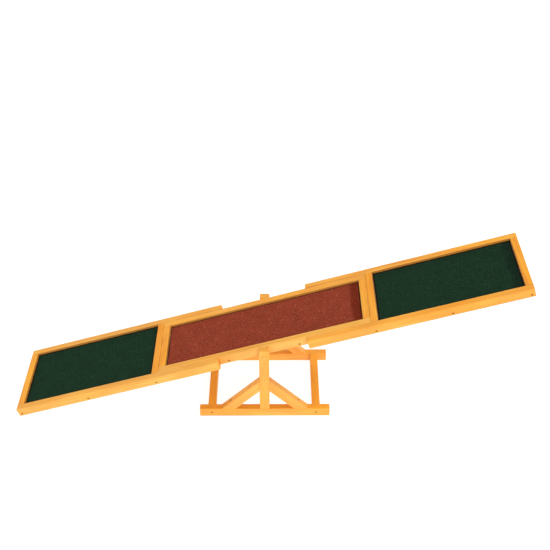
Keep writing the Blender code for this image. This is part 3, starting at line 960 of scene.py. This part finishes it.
def pine_material():
    """Honey-stained softwood: growth rings about a pith beside the timber, streaks and small knots."""
    shader = Shader("honey_stained_pine")
    grain = shader.attribute("grain")
    # The wear attribute's z is painted shade in holes and round the sheets, with the darkened seams.
    ending, arris, hole = shader.split(shader.attribute("wear"))

    sway = shader.noise(grain, (1.6, 13, 13), wanted="Color")
    sway = shader.vectors("SUBTRACT", sway, (0.5, 0.5, 0.5))
    swayed = shader.vectors("ADD", grain, shader.vectors("MULTIPLY", sway, (0, GRAIN_SWAY, GRAIN_SWAY)))
    knot_distance, knot_kind = shader.cells(swayed, (7, 17, 17))
    no_knot = shader.fit(knot_kind, 1.0 - KNOTTY_SHARE, 1.005 - KNOTTY_SHARE, 1.0, 0.0)
    knot = shader.plus(knot_distance, no_knot)
    swirl = shader.fit(knot, 0.0, 0.30, 1.0, 0.0)
    bulge = shader.times(shader.maths("POWER", swirl, 2.0), KNOT_BULGE)
    _, across, height = shader.split(swayed)
    pith = shader.vectors("LENGTH", shader.join(0.0, across, height))
    rings = shader.maths("FRACT", shader.maths("DIVIDE", shader.plus(pith, bulge), RING_SPACING))
    lateness = shader.ramp(rings, RING_TONES)

    fibres = shader.noise(grain, (16, 900, 900), 3.0, 0.6)
    streaks = shader.noise(grain, (5.5, 95, 95), 3.0, 0.55)
    clouds = shader.noise(grain, (7, 24, 24))
    blotches = shader.noise(grain, (3.2, 14, 14))
    contrast = shader.fit(shader.noise(grain, (2.0, 20, 20), 1.0), 0.35, 0.65, 0.25, 0.75)
    depth = shader.times(shader.fit(streaks, 0.28, 0.72), 0.50)
    depth = shader.plus(shader.times(lateness, contrast), depth)
    depth = shader.plus(depth, shader.times(shader.fit(fibres, 0.3, 0.7), 0.22))
    depth = shader.times(depth, 0.80)
    base = shader.ramp(depth, [(0.0, PALE_PINE), (0.42, MID_PINE), (1.0, LATE_PINE)])
    base = shader.tint(base, shader.ramp(clouds, [(0.34, (0.93, 0.86, 0.76)), (0.66, (1.03, 1.06, 1.12))]))
    # The timber's stain depth, which also carries painted sheen and painted shade, moved by random blotches.
    stain = shader.split(shader.attribute("stain"))[0]
    stain = shader.plus(stain, shader.fit(blotches, 0.3, 0.7, -0.26, 0.26), clamp=True)
    base = shader.tint(base, shader.ramp(stain, [(0.0, SHALLOW_STAIN_AND_SHEEN), (1.0, DEEP_STAIN_AND_SHADE)]))

    knot_rim = shader.fit(knot, 0.055, 0.105, 1.0, 0.0)
    knot_heart = shader.fit(knot, 0.030, 0.060, 1.0, 0.0)
    base = shader.mix(shader.times(knot_rim, 0.60), base, KNOT_RIM)
    base = shader.mix(shader.times(knot_heart, 0.70), base, KNOT_HEART)
    # Paler edges: partly rubbed stain, partly a painted highlight along the eased edges.
    rubbed_and_highlit = shader.fit(shader.noise(grain, (60, 90, 90)), 0.40, 0.70, 0.0, 0.75)
    base = shader.mix(shader.times(arris, rubbed_and_highlit), base, WORN_AND_HIGHLIT_PINE)
    base = shader.mix(shader.times(ending, 0.50), base, END_PINE)
    # Painted shade in holes and on the rails' faces round the sheets, and the darkened seams between end
    # rails.
    base = shader.mix(shader.times(hole, 0.92), base, SHADE_AND_SEAM_PINE)

    relief = shader.plus(shader.times(lateness, 0.35), shader.times(fibres, 0.8))
    saw_marks = shader.noise(grain, (30, 1400, 160), 1.0)
    saw_marks = shader.times(saw_marks, shader.times(ending, 2.0))
    shader.bump(shader.plus(relief, saw_marks), 0.35, 0.00022)
    roughness = shader.fit(streaks, 0.3, 0.7, 0.42, 0.56)
    roughness = shader.plus(roughness, shader.times(ending, 0.28), clamp=True)
    return shader.finish(Base_Color=base, Roughness=roughness, Specular_IOR_Level=0.65)


def plywood_material():
    """Thin rotary-cut plywood: contour-like veneer figure, and a darker cross ply on its edges."""
    shader = Shader("thin_plywood")
    grain = shader.attribute("grain")
    hills = shader.noise(grain, (2.4, 15, 1), 1.5)
    contours = shader.maths("FRACT", shader.times(hills, 13.0))
    figure = shader.ramp(contours, [(0.0, 0.0), (0.6, 0.35), (0.9, 1.0), (1.0, 0.0)])
    fibres = shader.noise(grain, (18, 700, 700), 3.0, 0.6)
    depth = shader.plus(shader.times(figure, 0.45), shader.times(fibres, 0.5))
    base = shader.ramp(depth, [(0.1, (0.74, 0.50, 0.27)), (0.5, (0.62, 0.38, 0.18)),
                               (0.95, (0.44, 0.24, 0.10))])
    patches = shader.noise(grain, (5, 9, 1), 3.0)
    base = shader.tint(base, shader.ramp(patches, [(0.3, (0.86, 0.84, 0.80)), (0.7, (1.05, 1.04, 1.02))]))
    height = shader.split(grain)[2]
    core_ply = shader.fit(shader.maths("ABSOLUTE", height), 0.0007, 0.0009, 1.0, 0.0)
    base = shader.mix(shader.times(core_ply, 0.5), base, (0.34, 0.17, 0.07))
    shader.bump(shader.plus(fibres, shader.times(figure, 0.3)), 0.4, 0.0002)
    return shader.finish(Base_Color=base, Roughness=shader.fit(fibres, 0.3, 0.7, 0.68, 0.85),
                         Specular_IOR_Level=0.25)


def felt_material(name, granules, fleck_share, seam_and_shade_width, end_shadow_tint):
    """Slate granules pressed into bitumen felt, which shows black along its cut edge; that black border is
    widened to paint the shade where the sheet meets the rails, and the right end can carry a painted shadow
    of its end rail.
    """
    dark, middle, pale, fleck = granules
    shader = Shader(name)
    x, y, border = shader.split(shader.attribute("felt"))
    flat = shader.join(x, y, 0.0)
    granule_distance, granule = shader.cells(flat, (760, 760, 1))
    base = shader.ramp(granule, [(0.0, dark), (0.25, middle), (0.72, middle), (1.0, pale)])
    patches = shader.noise(flat, (22, 22, 1))
    base = shader.tint(base, shader.ramp(patches, [(0.25, 0.90), (0.75, 1.10)]))
    clumps = shader.noise(flat, (170, 170, 1), 2.0, 0.6)
    base = shader.tint(base, shader.ramp(clumps, [(0.28, 0.76), (0.72, 1.24)]))
    fleck_distance, fleck_kind = shader.cells(flat, (118, 118, 1))
    chosen = shader.fit(fleck_kind, 1.0 - fleck_share, 1.01 - fleck_share)
    spot = shader.times(shader.fit(fleck_distance, 0.12, 0.24, 1.0, 0.0), chosen)
    base = shader.mix(shader.times(spot, 0.7), base, fleck)
    # Painted shadow that the right end rail casts across the sheet's right end, with a ragged edge.
    from_shadowed_end = shader.split(shader.attribute("selvage"))[0]
    ragged = shader.fit(shader.noise(flat, (45, 45, 1)), 0.3, 0.7, -0.004, 0.004)
    in_end_shadow = shader.fit(shader.plus(from_shadowed_end, ragged), END_SHADOW_WIDTH - END_SHADOW_BLUR, END_SHADOW_WIDTH + END_SHADOW_BLUR,
                      1.0, 0.0)
    base = shader.mix(in_end_shadow, base, end_shadow_tint, "MULTIPLY")
    bare_distance, bare_kind = shader.cells(flat, (85, 85, 1))
    bare = shader.times(shader.fit(bare_distance, 0.08, 0.17, 1.0, 0.0), shader.fit(bare_kind, 0.80, 0.81))
    # A black border along the cut edge: the bitumen, widened as painted shade where the sheet meets the
    # rails.
    wander = shader.fit(shader.noise(flat, (160, 160, 1)), 0.3, 0.7, -0.0008, 0.0008)
    seam_and_shade = shader.fit(shader.plus(border, wander), seam_and_shade_width, seam_and_shade_width + 0.0014, 1.0, 0.0)
    black = shader.maths("MAXIMUM", shader.times(bare, 0.7), seam_and_shade)
    base = shader.mix(shader.times(black, 0.9), base, BITUMEN_AND_SHADE_BLACK)
    shader.bump(granule_distance, 0.6, 0.0004)
    return shader.finish(Base_Color=base, Roughness=shader.fit(granule, 0.0, 1.0, 0.82, 0.98),
                         Specular_IOR_Level=0.07)


def metal_material(name, patches, colours, dull, bright):
    """Passivated zinc plating, dull and a little uneven; patches says how many there are in a metre."""
    shader = Shader(name)
    grain = shader.attribute("grain")
    clouds = shader.noise(grain, (patches,) * 3, 3.0)
    fine = shader.noise(grain, (2600,) * 3)
    shader.bump(fine, 0.15, 0.00005)
    return shader.finish(Base_Color=shader.ramp(clouds, colours), Metallic=1.0,
                         Roughness=shader.fit(clouds, 0.3, 0.7, dull, bright))


def nylon_material():
    shader = Shader("nylon_insert")
    grain = shader.attribute("grain")
    clouds = shader.noise(grain, (900,) * 3)
    base = shader.ramp(clouds, [(0.3, (0.60, 0.64, 0.66)), (0.7, (0.74, 0.77, 0.78))])
    shader.bump(clouds, 0.1, 0.0001)
    return shader.finish(Base_Color=base, Roughness=0.45)


# ---- Studio ----

def add_camera():
    data = bpy.data.cameras.new("camera")
    data.sensor_fit = "HORIZONTAL"
    data.sensor_width = SENSOR_WIDTH
    data.lens = SENSOR_WIDTH * CAMERA_FOCUS
    data.clip_end = 100.0
    place = Matrix.Translation(CAMERA_PLACE)
    for degrees, axis in ((CAMERA_YAW, "Z"), (90 - CAMERA_DOWN, "X"), (-CAMERA_ROLL, "Z")):
        place @= Matrix.Rotation(radians(degrees), 4, axis)
    bpy.context.scene.camera = new_object("camera", data, place)


def add_floor():
    """A wide pale floor that gives off some light itself, which keeps shadows on it faint."""
    shader = Shader("studio_floor")
    position = shader.node("TexCoord", {}).outputs["Object"]
    mottle = shader.noise(position, (3, 3, 3), 3.0)
    base = shader.ramp(mottle, [(0.3, FLOOR_TONES[0]), (0.7, FLOOR_TONES[1])])
    material = shader.finish(Base_Color=base, Roughness=0.9, Specular_IOR_Level=0.0, Emission_Color=WHITE,
                             Emission_Strength=FLOOR_GLOW)
    reach = FLOOR_SIZE / 2
    corners = [(-reach, -reach, 0.0), (reach, -reach, 0.0), (reach, reach, 0.0), (-reach, reach, 0.0)]
    mesh = bpy.data.meshes.new("studio_floor")
    mesh.from_pydata(corners, [], [(0, 1, 2, 3)])
    mesh.materials.append(material)
    new_object("studio_floor", mesh, Matrix.Identity(4))


def add_lights():
    """A white sky that is bright near the horizon and dim above, and the lamps."""
    sky = Shader("studio", "worlds", "Background")
    height = sky.split(sky.node("TexCoord", {}).outputs["Generated"])[2]
    strength = sky.fit(height, *SKY_HEIGHTS, HORIZON_LIGHT, SKY_LIGHT)
    bpy.context.scene.world = sky.finish(Color=WHITE, Strength=strength)
    for name, direction, strength, across in LAMPS:
        sun = bpy.data.lights.new(name, "SUN")
        sun.energy = strength
        sun.angle = radians(across)
        new_object(name, sun, Vector(direction).to_track_quat("Z", "Y").to_matrix().to_4x4())


def main():
    add_camera()
    add_floor()
    add_lights()
    bpy.context.scene.view_settings.view_transform = "Standard"
    screws = [*(cad_screw(node) for node in nodes_ending("_screw")), *extra_screws()]
    build_timbers(screws, pine_material())
    build_boards(plywood_material())
    build_felts(
        felt_material("green_mineral_felt", GREEN_GRANULES, fleck_share=0.22, seam_and_shade_width=0.0055,
                      end_shadow_tint=(0.74, 0.72, 0.74)),
        felt_material("red_mineral_felt", RED_GRANULES, fleck_share=0.36, seam_and_shade_width=0.0028,
                      end_shadow_tint=(0.66, 0.50, 0.36)))
    # Screws get a darker copy of the plating, which paints the shade in their holes.
    build_screws(screws, metal_material("passivated_screw_steel", 700, SHADED_SCREW_TONES, dull=0.55, bright=0.38))
    build_pivots(metal_material("zinc_plated_steel", 420, BOLT_TONES, dull=0.52, bright=0.36),
                 nylon_material())


main()
